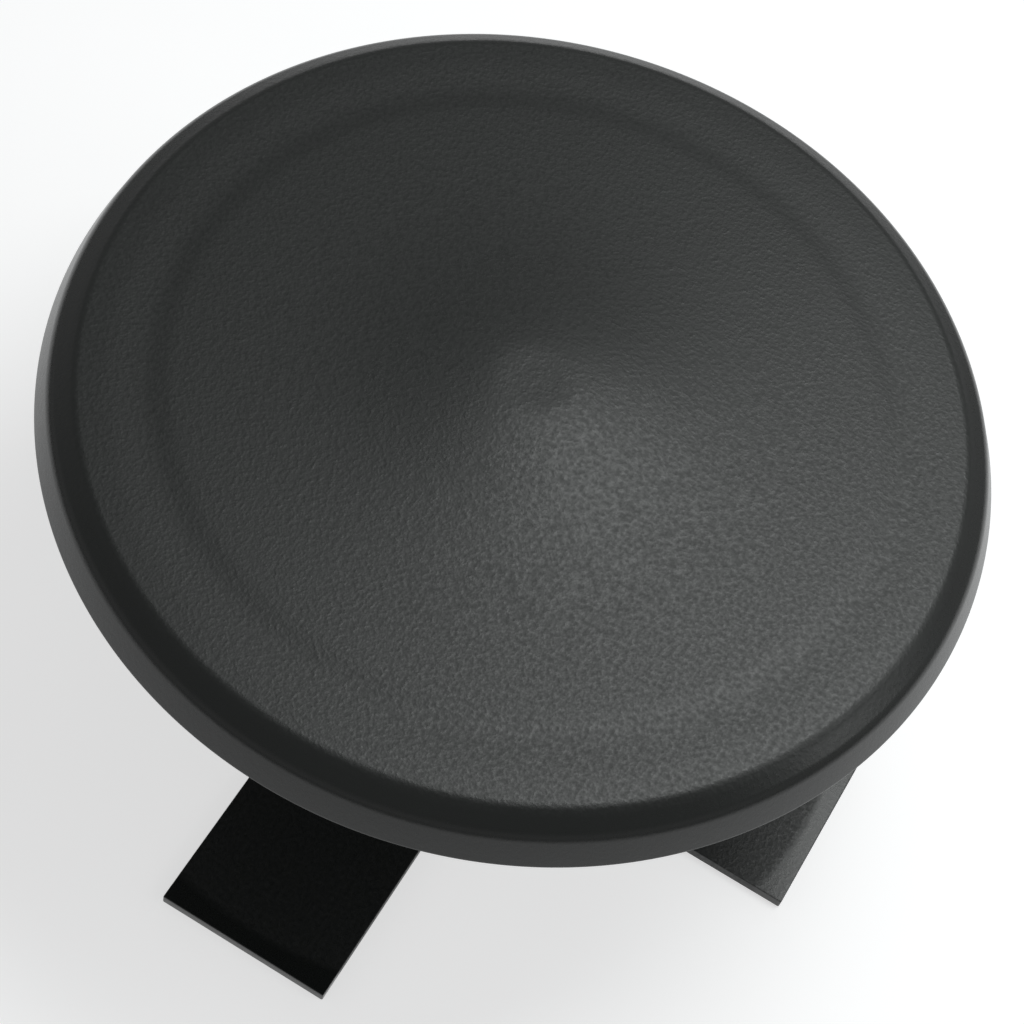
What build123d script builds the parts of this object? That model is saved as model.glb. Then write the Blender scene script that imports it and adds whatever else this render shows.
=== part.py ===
"""Plug for a round hole in a panel, moulded in one piece.

A wide round head covers the hole and a low ring under it centres the plug.
A ribbed post reaches through the panel to a flat cross. Its four thin arms
bend to pass the hole and spring out behind the panel.

Millimetres, +Z up, standing on the cross: the origin is on the plug's axis,
on the underside of the arms.
"""
from build123d import *
import os

# Head: crowned face, sloping shoulder and flared rim wall
head_d = 100.0          # across the bottom edge of the rim
rim_flare = 1.3         # how far the rim wall leans out from top to bottom
shoulder_w = 2.6        # width of the sloping shoulder round the face
shoulder_drop = 1.6     # face edge down to the shoulder break
rim_h = 5.5             # face edge down to the bottom edge of the rim
plate_t = 2.2           # thickness under the face
rim_wall = 1.8
face_bend = 1.6         # rounding between face and shoulder
shoulder_bend = 2.4     # rounding between shoulder and rim wall
rim_break = 0.3         # chamfer of the rim's bottom edge

# Soft rise of the face over the post, with the dimple at its middle
crown_h = 0.9           # rise of the middle above the face's edge
crown_d = 66.0          # where the rise has run out
crown_turn_d = 24.0     # where it turns from hollow to round
crown_turn_share = 0.6  # height there, as a share of the rise
dimple_d = 9.0
dimple_depth = 0.25

# Centring ring under the head, and the sink line that it leaves in the face
hole_d = 83.5           # the panel's hole
ring_clearance = 0.5    # between the hole and the ring, across both sides
ring_wall = 1.8
ring_drop = 8.0         # below the bottom edge of the rim
ring_lead = 0.8         # chamfer that leads the ring into the hole
sink_w = 4.6
sink_depth = 0.12

# Cross of four spring arms, parallel to the head
arm_depth = 51.5        # face edge down to the top of the arms
arm_span = 97.4         # from tip to opposite tip
arm_w = 21.0
arm_t = 1.5
arm_corner_r = 3.0      # where one arm meets the next

# Post between head and cross: a round core with four ribs in line with the arms
core_d = 8.0
core_flare = 3.0        # how far the core widens, as a cone, into the head and the cross
rib_t = 1.8
rib_reach = 7.0         # from the axis to a rib's edge
rib_flare = 2.0         # how far a rib widens into the head
gusset_reach = 18.0     # how far a rib's foot reaches out along its arm
gusset_h = 12.0         # height of that foot above the arm
gusset_toe = 1.5        # height of the foot at its outer end
gusset_bend_r = 12.0    # bend between foot and rib

# Levels and radii, worked out from the sizes above
face_z = arm_t + arm_depth
plate_z = face_z - plate_t
rim_z = face_z - rim_h
ring_z = rim_z - ring_drop
shoulder_r = head_d / 2 - rim_flare
face_r = shoulder_r - shoulder_w
ring_r = (hole_d - ring_clearance) / 2
rooted = 0.3            # how far the ring and the post run into what carries them


def turned(outline):
    """Solid turned about Z from a closed outline of (radius, height)."""
    return revolve(Plane.XZ * outline, Axis.Z)


def corners(outline, *places):
    """The corners of a flat outline that lie at these places."""
    return [v for v in outline.vertices() for x, y in places if abs(v.X - x) + abs(v.Y - y) < 0.001]


def head():
    """Crowned plate with its shoulder and rim wall, hollow underneath."""
    crown_top = (0, face_z + crown_h)
    crown_turn = (crown_turn_d / 2, face_z + crown_h * crown_turn_share)
    crown_foot = (crown_d / 2, face_z)
    face_edge = (face_r, face_z)
    shoulder = (shoulder_r, face_z - shoulder_drop)
    rim_foot = (head_d / 2, rim_z)
    crown = Spline(crown_top, crown_turn, crown_foot, tangents=((1, 0), (1, 0)))
    rest = Polyline(
        crown_foot,
        face_edge,
        shoulder,
        rim_foot,
        (head_d / 2 - rim_wall, rim_z),
        (shoulder_r - rim_wall, plate_z),
        (0, plate_z),
        crown_top,
    )
    outline = make_face(crown.edges() + rest.edges())
    outline = fillet(corners(outline, face_edge), face_bend)
    outline = fillet(corners(outline, shoulder), shoulder_bend)
    outline = chamfer(corners(outline, rim_foot), rim_break)
    return turned(outline) - dimple() - sink_line()


def dimple():
    """Shallow round hollow over the post, where the thick plastic has shrunk."""
    ball_r = (dimple_d**2 / 4 + dimple_depth**2) / (2 * dimple_depth)
    return Pos(0, 0, face_z + crown_h - dimple_depth + ball_r) * Sphere(ball_r)


def sink_line():
    """Shallow groove in the face over the centring ring."""
    bend_r = (sink_w**2 / 4 + sink_depth**2) / (2 * sink_depth)
    return Pos(0, 0, face_z - sink_depth + bend_r) * Torus(ring_r - ring_wall / 2, bend_r)


def centring_ring():
    """Thin round wall under the head that fills the panel's hole."""
    inner_r = ring_r - ring_wall
    top = plate_z + rooted
    lead = (ring_r, ring_z)
    outline = make_face(Polyline((inner_r, top), (ring_r, top), lead, (inner_r, ring_z), close=True))
    return turned(chamfer(corners(outline, lead), ring_lead))


def cross():
    """Flat cross of four arms, with rounded inside corners and square tips."""
    arm = Rectangle(arm_span, arm_w)
    plan = arm + Rot(0, 0, 90) * arm
    half_w = arm_w / 2
    inside = [(x, y) for x in (-half_w, half_w) for y in (-half_w, half_w)]
    return extrude(fillet(corners(plan, *inside), arm_corner_r), arm_t)


def core():
    """Round middle of the post, flared into the head and the cross."""
    r = core_d / 2
    foot_r = r + core_flare + rooted
    feet = ((r, arm_t), (r, plate_z))
    outline = make_face(
        Polyline(
            (0, arm_t - rooted),
            (foot_r, arm_t - rooted),
            (foot_r, arm_t),
            *feet,
            (foot_r, plate_z),
            (foot_r, plate_z + rooted),
            (0, plate_z + rooted),
            close=True,
        )
    )
    return turned(chamfer(corners(outline, *feet), core_flare))


def rib():
    """Pair of ribs across the post, with feet that stiffen the roots of two arms."""
    low, high = arm_t - rooted, plate_z + rooted
    knee = (rib_reach, arm_t + gusset_h)
    side = [
        (gusset_reach, low),
        (gusset_reach, arm_t + gusset_toe),
        knee,
        (rib_reach, plate_z - rib_flare),
        (rib_reach + rib_flare, plate_z),
        (rib_reach + rib_flare, high),
    ]
    other_side = [(-x, y) for x, y in reversed(side)]
    outline = make_face(Polyline(*side, *other_side, close=True))
    knees = corners(outline, knee, (-knee[0], knee[1]))
    return extrude(Plane.XZ * fillet(knees, gusset_bend_r), rib_t / 2, both=True)


def hole_plug():
    """The whole plug, fused into the one moulding that it is."""
    ribs = rib() + Rot(0, 0, 90) * rib()
    return head() + centring_ring() + core() + ribs + cross()


os.makedirs("parts", exist_ok=True)
export_step(hole_plug(), "parts/hole_plug.step")
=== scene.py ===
import bmesh
import bpy
import math
from mathutils import Matrix, Vector


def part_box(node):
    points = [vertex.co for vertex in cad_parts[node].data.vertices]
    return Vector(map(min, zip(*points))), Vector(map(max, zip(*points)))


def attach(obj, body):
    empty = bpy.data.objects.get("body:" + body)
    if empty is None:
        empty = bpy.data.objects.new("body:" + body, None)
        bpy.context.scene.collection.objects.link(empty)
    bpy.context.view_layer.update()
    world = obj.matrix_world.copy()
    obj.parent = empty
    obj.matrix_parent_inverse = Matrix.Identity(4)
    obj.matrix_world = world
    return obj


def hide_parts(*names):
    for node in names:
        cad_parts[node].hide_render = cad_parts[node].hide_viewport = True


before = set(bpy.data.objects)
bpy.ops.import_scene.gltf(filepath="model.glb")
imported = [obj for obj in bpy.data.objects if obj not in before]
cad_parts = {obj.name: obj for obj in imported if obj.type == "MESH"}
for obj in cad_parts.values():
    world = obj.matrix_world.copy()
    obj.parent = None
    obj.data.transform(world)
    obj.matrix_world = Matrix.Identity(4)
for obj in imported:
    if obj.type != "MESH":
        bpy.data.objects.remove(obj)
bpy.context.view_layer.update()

# ---- Head ------------------------------------------------------------------------
# The round plate that covers the hole, with its sloping shoulder, flared rim and the
# centring ring below. It is injection moulded polypropylene: its face swells softly
# over the post and has shrunk into a dimple at its middle and a groove over the ring.
mm = 0.001
low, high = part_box("hole_plug")
base_z = low[2] / mm
arm_t, arm_depth = 1.5, 51.5
face_z = base_z + arm_t + arm_depth
face_r = 46.1
shoulder_r, shoulder_drop = 48.7, 1.6
rim_r, rim_h, rim_wall = 50.3, 5.5, 1.8
plate_t = 2.2
ring_outer_r, ring_wall, ring_drop, ring_lead = 41.5, 1.8, 8.0, 0.8
face_edge_bend, shoulder_bend, rim_edge_bend = 1.6, 2.4, 0.4
thin_edge_bend, rim_root_bend, ring_root_bend = 0.2, 0.5, 0.4
crown_h, crown_spread = 2.35, 11.0
dimple_r, dimple_depth, dimple_share = 4.5, 0.16, 0.7
sink_from, sink_low, sink_to, sink_depth = 36.4, 39.2, 43.8, 0.12
flat_edge = 1.2
turn_steps, face_steps = 360, 96
short_bend, short_bend_steps, bend_steps = 1.0, 3, 8


def eased(share):
    """Smooth step from 0 to 1 as the share goes from 0 to 1."""
    share = min(max(share, 0), 1)
    return share * share * (3 - 2 * share)


def face_height(r):
    """Height of the face at this distance from the axis."""
    crown = crown_h * math.exp(-0.5 * (r / crown_spread) ** 2)
    dimple = dimple_depth * math.exp(-((r / (dimple_share * dimple_r)) ** 3))
    falling = eased((r - sink_from) / (sink_low - sink_from))
    rising = eased((r - sink_low) / (sink_to - sink_low))
    sink = sink_depth * falling * (1 - rising)
    return face_z + crown - dimple - sink


def bend(before, corner, after, radius):
    """Points of the arc that rounds this corner of an outline."""
    steps = short_bend_steps if radius < short_bend else bend_steps
    to_before, to_after = (before - corner).normalized(), (after - corner).normalized()
    half = to_before.angle(to_after) / 2
    middle = corner + (to_before + to_after).normalized() * radius / math.sin(half)
    start = corner + to_before * radius / math.tan(half) - middle
    end = corner + to_after * radius / math.tan(half) - middle
    sweep = start.angle_signed(end)
    return [middle + Matrix.Rotation(-sweep * k / steps, 2) @ start for k in range(steps + 1)]


def outline_with_bends(corners):
    """Outline through (r, z, bend radius) corners, each rounded by its own arc."""
    points = [Vector(corner[:2]) for corner in corners]
    line = [points[0]]
    for k in range(1, len(corners) - 1):
        radius = corners[k][2]
        if radius:
            line += bend(points[k - 1], points[k], points[k + 1], radius)
        else:
            line.append(points[k])
    return line + [points[-1]]


def turned(outline, steps):
    """Mesh turned about the plug's axis from an outline of (r, z) points."""
    form = bmesh.new()
    angles = [2 * math.pi * k / steps for k in range(steps)]
    rings = []
    for r, z in outline:
        if r < 0.0001:
            rings.append([form.verts.new((0, 0, z))] * steps)
        else:
            rings.append([form.verts.new((r * math.cos(a), r * math.sin(a), z)) for a in angles])
    for upper, lower in zip(rings, rings[1:]):
        for k in range(steps):
            corners = (upper[k - 1], upper[k], lower[k], lower[k - 1])
            form.faces.new(list(dict.fromkeys(corners)))
    bmesh.ops.recalc_face_normals(form, faces=form.faces)
    return form


def solid(name, form):
    """Object made from a bmesh form, in the form's own units."""
    mesh = bpy.data.meshes.new(name)
    form.to_mesh(mesh)
    form.free()
    piece = bpy.data.objects.new(name, mesh)
    bpy.context.scene.collection.objects.link(piece)
    return piece


rim_z, plate_z = face_z - rim_h, face_z - plate_t
ring_z = rim_z - ring_drop
ring_inner_r = ring_outer_r - ring_wall
flat_from = face_r - flat_edge
face_radii = [flat_from * k / face_steps for k in range(face_steps + 1)]
face_line = [Vector((r, face_height(r))) for r in face_radii]
rim_line = outline_with_bends([
    (flat_from, face_z, 0),
    (face_r, face_z, face_edge_bend),
    (shoulder_r, face_z - shoulder_drop, shoulder_bend),
    (rim_r, rim_z, rim_edge_bend),
    (rim_r - rim_wall, rim_z, thin_edge_bend),
    (shoulder_r - rim_wall, plate_z, rim_root_bend),
    (ring_outer_r, plate_z, ring_root_bend),
    (ring_outer_r, ring_z + ring_lead, thin_edge_bend),
    (ring_outer_r - ring_lead, ring_z, thin_edge_bend),
    (ring_inner_r, ring_z, thin_edge_bend),
    (ring_inner_r, plate_z, ring_root_bend),
    (0, plate_z, 0),
])
plug = solid("plug", turned(face_line + rim_line[1:], turn_steps))

# ---- Post ------------------------------------------------------------------------
# The post joins head and cross through the panel: a round core that widens at both
# ends, with four ribs in line with the arms whose feet stiffen the arms' roots. It is
# moulded with them, so it reaches a little way into both and is fused to them below.
core_r, core_flare, core_steps, rooted = 4.0, 3.0, 64, 0.3
rib_t, rib_reach, rib_flare = 1.8, 7.0, 2.0
gusset_reach, gusset_h, gusset_toe, gusset_bend = 18.0, 12.0, 1.5, 12.0
edge_round, edge_angle = 0.15, math.radians(20)
arm_top = base_z + arm_t
foot_r = core_r + core_flare + rooted


def plate(outline, thickness, place):
    """Flat plate of a closed outline, its edges just broken as a mould leaves them."""
    form = bmesh.new()
    front = form.faces.new([form.verts.new((x, y, -thickness / 2)) for x, y in outline])
    grown = bmesh.ops.extrude_face_region(form, geom=[front])["geom"]
    grown_verts = [v for v in grown if isinstance(v, bmesh.types.BMVert)]
    bmesh.ops.translate(form, vec=(0, 0, thickness), verts=grown_verts)
    bmesh.ops.recalc_face_normals(form, faces=form.faces)
    sharp = [edge for edge in form.edges if edge.calc_face_angle() > edge_angle]
    bmesh.ops.bevel(form, geom=sharp, offset=edge_round, segments=2, profile=0.5,
                    affect="EDGES", clamp_overlap=True)
    form.transform(place)
    return form


core_line = outline_with_bends([
    (0, plate_z + rooted, 0),
    (foot_r, plate_z + rooted, 0),
    (foot_r, plate_z, 0),
    (core_r, plate_z, core_flare),
    (core_r, arm_top, core_flare),
    (foot_r, arm_top, 0),
    (foot_r, arm_top - rooted, 0),
    (0, arm_top - rooted, 0),
])
core = solid("core", turned(core_line, core_steps))
rib_side = outline_with_bends([
    (gusset_reach, arm_top - rooted, 0),
    (gusset_reach, arm_top + gusset_toe, 0),
    (rib_reach, arm_top + gusset_h, gusset_bend),
    (rib_reach, plate_z - rib_flare, 0),
    (rib_reach + rib_flare, plate_z, 0),
    (rib_reach + rib_flare, plate_z + rooted, 0),
])
rib_outline = rib_side + [Vector((-x, y)) for x, y in reversed(rib_side)]
upright = Matrix.Rotation(math.radians(90), 4, "X")
ribs = []
for angle in (0, 90):
    stand = Matrix.Rotation(math.radians(angle), 4, "Z") @ upright
    ribs.append(solid("rib", plate(rib_outline, rib_t, stand)))

# ---- Cross -----------------------------------------------------------------------
# Four thin arms in one flat cross, parallel to the head. They bend to pass the
# hole and spring out behind the panel, so they are thin and square cut at the tip.
arm_reach, arm_half_w, arm_corner = 48.7, 10.5, 3.0
arm_tip = Vector((arm_reach, arm_half_w))
arm_root = Vector((arm_half_w, arm_half_w))
next_tip = Vector((arm_half_w, arm_reach))
quarter = [Vector((arm_reach, -arm_half_w)), arm_tip]
quarter += bend(arm_tip, arm_root, next_tip, arm_corner)
quarter_turns = [Matrix.Rotation(math.radians(90) * k, 2) for k in range(4)]
cross_outline = [quarter_turn @ point for quarter_turn in quarter_turns for point in quarter]
lying = Matrix.Translation((0, 0, base_z + arm_t / 2))
cross = solid("cross", plate(cross_outline, arm_t, lying))

# ---- Moulding --------------------------------------------------------------------
# Head, post and cross come out of one mould as one part, so they are fused into one
# skin. It is black polypropylene: dull, with the fine pebbles of a leather-grained
# mould on the face, and smoother on the rim, where the steel of the mould was turned.
sharp_angle = math.radians(30)
pebble_mm, crease_mm, flow_mm = 0.5, 1.6, 9.0
grain_depth_mm, crease_share = 0.045, 0.5
grain_fade_mm, rim_grain = 1.0, 0.3
valley_dullness, pebble_dullness, rim_dullness = 0.55, 0.38, 0.25

for part in [core, *ribs, cross]:
    fuse = plug.modifiers.new("fuse", "BOOLEAN")
    fuse.operation = "UNION"
    fuse.solver = "EXACT"
    fuse.object = part
bpy.context.view_layer.update()
fused = bpy.data.meshes.new_from_object(plug.evaluated_get(bpy.context.evaluated_depsgraph_get()))
plug.modifiers.clear()
plug.data = fused
for part in [core, *ribs, cross]:
    bpy.data.objects.remove(part)
skin = bmesh.new()
skin.from_mesh(fused)
bmesh.ops.remove_doubles(skin, verts=skin.verts, dist=0.0001)
for face in skin.faces:
    face.smooth = True
for edge in skin.edges:
    edge.smooth = edge.calc_face_angle(0) < sharp_angle
skin.transform(Matrix.Scale(mm, 4))
skin.to_mesh(fused)
skin.free()
level = plug.modifiers.new("level", "WEIGHTED_NORMAL")
level.keep_sharp = True


def linear(hex_colour):
    """Linear colour of an sRGB hex value."""
    parts = [int(hex_colour[k:k + 2], 16) / 255 for k in (1, 3, 5)]
    return [c / 12.92 if c <= 0.04045 else ((c + 0.055) / 1.055) ** 2.4 for c in parts] + [1]


def add_node(tree, kind, settings=None, **links):
    """Node of this kind with its settings, and its inputs set to values or linked.

    An input is called by its name, or by _ and its number where names repeat.
    """
    node = tree.nodes.new(kind)
    for name, value in (settings or {}).items():
        setattr(node, name, value)
    for name, value in links.items():
        key = int(name[1:]) if name[0] == "_" else name.replace("_", " ")
        if isinstance(value, bpy.types.NodeSocket):
            tree.links.new(value, node.inputs[key])
        else:
            node.inputs[key].default_value = value
    return node


moulded = bpy.data.materials.new("black polypropylene, leather grain moulded")
moulded.use_nodes = True
tree = moulded.node_tree
tree.nodes.clear()
place = add_node(tree, "ShaderNodeTexCoord").outputs["Object"]

# The grain: pebbles between wider creases, fading where the face turns into the rim.
pebbles = add_node(tree, "ShaderNodeTexNoise", Vector=place, Scale=1 / (pebble_mm * mm),
                   Detail=1.5, Roughness=0.6)
creases = add_node(tree, "ShaderNodeTexNoise", Vector=place, Scale=1 / (crease_mm * mm),
                   Detail=3.0, Roughness=0.6)
height = add_node(tree, "ShaderNodeMath", {"operation": "MULTIPLY_ADD"},
                  _0=creases.outputs["Fac"], _1=crease_share, _2=pebbles.outputs["Fac"])
across = add_node(tree, "ShaderNodeSeparateXYZ", Vector=place)
x_squared = add_node(tree, "ShaderNodeMath", {"operation": "MULTIPLY"},
                     _0=across.outputs["X"], _1=across.outputs["X"])
r_squared = add_node(tree, "ShaderNodeMath", {"operation": "MULTIPLY_ADD"},
                     _0=across.outputs["Y"], _1=across.outputs["Y"], _2=x_squared.outputs["Value"])
radius = add_node(tree, "ShaderNodeMath", {"operation": "SQRT"}, _0=r_squared.outputs["Value"])
grained = add_node(tree, "ShaderNodeMapRange", Value=radius.outputs["Value"],
                   From_Min=face_r * mm, From_Max=(face_r + grain_fade_mm) * mm,
                   To_Min=1.0, To_Max=rim_grain)
grain = add_node(tree, "ShaderNodeBump", Strength=grained.outputs["Result"],
                 Distance=grain_depth_mm * mm, Height=height.outputs["Value"])

# The tops of the pebbles are rubbed a little glossier than the valleys between them,
# and slow flow marks shift the black slightly.
dull = add_node(tree, "ShaderNodeMapRange", Value=pebbles.outputs["Fac"],
                From_Min=0.3, From_Max=0.7, To_Min=valley_dullness, To_Max=pebble_dullness)
dullness = add_node(tree, "ShaderNodeMapRange", Value=grained.outputs["Result"],
                    From_Min=0.2, From_Max=1.0, To_Min=rim_dullness, To_Max=dull.outputs["Result"])
flow = add_node(tree, "ShaderNodeTexNoise", Vector=place, Scale=1 / (flow_mm * mm),
                Detail=4.0, Roughness=0.6)
colour = add_node(tree, "ShaderNodeMix", {"data_type": "RGBA"}, Factor=flow.outputs["Fac"],
                  _6=linear("#181a19"), _7=linear("#1c1f1e"))
plastic = add_node(tree, "ShaderNodeBsdfPrincipled", Base_Color=colour.outputs[2],
                   Roughness=dullness.outputs["Result"], IOR=1.49, Normal=grain.outputs["Normal"])
add_node(tree, "ShaderNodeOutputMaterial", Surface=plastic.outputs["BSDF"])
plug.data.materials.clear()
plug.data.materials.append(moulded)
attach(plug, "root")
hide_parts("hole_plug")

# ---- Floor -----------------------------------------------------------------------
# A sheet of white studio paper, a hair below the cross so that the two don't share a
# plane. It lights itself a little where it is looked at or mirrored, so it stays white.
paper_half, paper_gap, paper_lift = 0.4, 0.02 * mm, 0.6
floor_form = bmesh.new()
bmesh.ops.create_grid(floor_form, x_segments=1, y_segments=1, size=paper_half)
bmesh.ops.translate(floor_form, vec=(0, 0, low[2] - paper_gap), verts=floor_form.verts)
floor = solid("floor", floor_form)
paper = bpy.data.materials.new("white studio paper")
paper.use_nodes = True
tree = paper.node_tree
tree.nodes.clear()
rays = add_node(tree, "ShaderNodeLightPath")
seen = add_node(tree, "ShaderNodeMath", {"operation": "MAXIMUM"},
                _0=rays.outputs["Is Camera Ray"], _1=rays.outputs["Is Glossy Ray"])
seen = add_node(tree, "ShaderNodeMath", {"operation": "MAXIMUM"},
                _0=seen.outputs["Value"], _1=rays.outputs["Is Transmission Ray"])
lift = add_node(tree, "ShaderNodeMath", {"operation": "MULTIPLY"},
                _0=seen.outputs["Value"], _1=paper_lift)
sheet = add_node(tree, "ShaderNodeBsdfDiffuse", Color=linear("#c8c9ca"))
glow = add_node(tree, "ShaderNodeEmission", Color=linear("#ffffff"), Strength=lift.outputs["Value"])
both = add_node(tree, "ShaderNodeAddShader", _0=sheet.outputs[0], _1=glow.outputs[0])
add_node(tree, "ShaderNodeOutputMaterial", Surface=both.outputs[0])
floor.data.materials.append(paper)

# ---- Studio ----------------------------------------------------------------------
# The backdrop is white to look at, but gives the plug only a band of light round the
# horizon under a dim ceiling, so that the face stays black and the rim shows.
band_low, band_high = -0.1, 0.7
band_levels = [(0.05, 0.15), (0.38, 0.45), (0.9, 0.22)]
world = bpy.data.worlds.new("studio")
bpy.context.scene.world = world
world.use_nodes = True
tree = world.node_tree
tree.nodes.clear()
rays = add_node(tree, "ShaderNodeLightPath")
seen = add_node(tree, "ShaderNodeMath", {"operation": "MAXIMUM"},
                _0=rays.outputs["Is Camera Ray"], _1=rays.outputs["Is Transmission Ray"])
sky = add_node(tree, "ShaderNodeTexCoord").outputs["Generated"]
sky_parts = add_node(tree, "ShaderNodeSeparateXYZ", Vector=sky)
share_up = add_node(tree, "ShaderNodeMapRange", Value=sky_parts.outputs["Z"],
                    From_Min=band_low, From_Max=band_high)
band = add_node(tree, "ShaderNodeValToRGB", Fac=share_up.outputs["Result"])
band.color_ramp.interpolation = "EASE"
band.color_ramp.elements.new(0.5)
for element, (share, brightness) in zip(band.color_ramp.elements, band_levels):
    element.position = share
    element.color = (brightness, brightness, brightness, 1)
strength = add_node(tree, "ShaderNodeMix", {"data_type": "FLOAT"}, Factor=seen.outputs["Value"],
                    _2=band.outputs["Color"], _3=1.0)
backdrop = add_node(tree, "ShaderNodeBackground", Color=linear("#ffffff"), Strength=strength.outputs[0])
add_node(tree, "ShaderNodeOutputWorld", Surface=backdrop.outputs[0])

# A soft key lamp high behind the plug on the right lies near the mirror of the view,
# where a dull black face shows its relief, and a weak fill lights the right shoulder.
middle = Vector((0, 0, face_z * mm))


def towards(azimuth, elevation):
    """Unit vector from the face, in degrees; azimuth 0 is in front of the plug, along -Y."""
    a, e = math.radians(azimuth), math.radians(elevation)
    return Vector((math.sin(a) * math.cos(e), -math.cos(a) * math.cos(e), math.sin(e)))


def lamp(name, azimuth, elevation, distance, size, power):
    """Square area lamp aimed at the face."""
    light = bpy.data.lights.new(name, "AREA")
    light.size = size
    light.energy = power
    light.color = linear("#fcfffe")[:3]
    piece = bpy.data.objects.new(name, light)
    back = towards(azimuth, elevation)
    piece.location = middle + back * distance
    piece.rotation_euler = back.to_track_quat("Z", "Y").to_euler()
    bpy.context.scene.collection.objects.link(piece)


lamp("key", 147, 67, 0.26, 0.16, 0.46)
lamp("fill", 107, 39, 0.50, 0.20, 0.25)

# The camera looks down on the face from close by, turned a little, with the face high
# in the frame so that the arms show below it.
view_azimuth, view_elevation, view_roll = 16.17, 58.64, math.radians(16.23)
view_distance = 255.8 * mm
face_right, face_up = 1.99 * mm, 12.49 * mm
camera = bpy.data.objects.new("camera", bpy.data.cameras.new("camera"))
camera.data.lens = 87.9
camera.data.sensor_width = 36.0
camera.data.clip_start = 0.01
back = towards(view_azimuth, view_elevation)
turn = back.to_track_quat("Z", "Y").to_matrix() @ Matrix.Rotation(view_roll, 3, "Z")
right, up = turn.col[0], turn.col[1]
stand_point = middle + back * view_distance - right * face_right - up * face_up
camera.matrix_world = Matrix.Translation(stand_point) @ turn.to_4x4()
bpy.context.scene.collection.objects.link(camera)
bpy.context.scene.camera = camera
bpy.context.scene.view_settings.view_transform = "Standard"
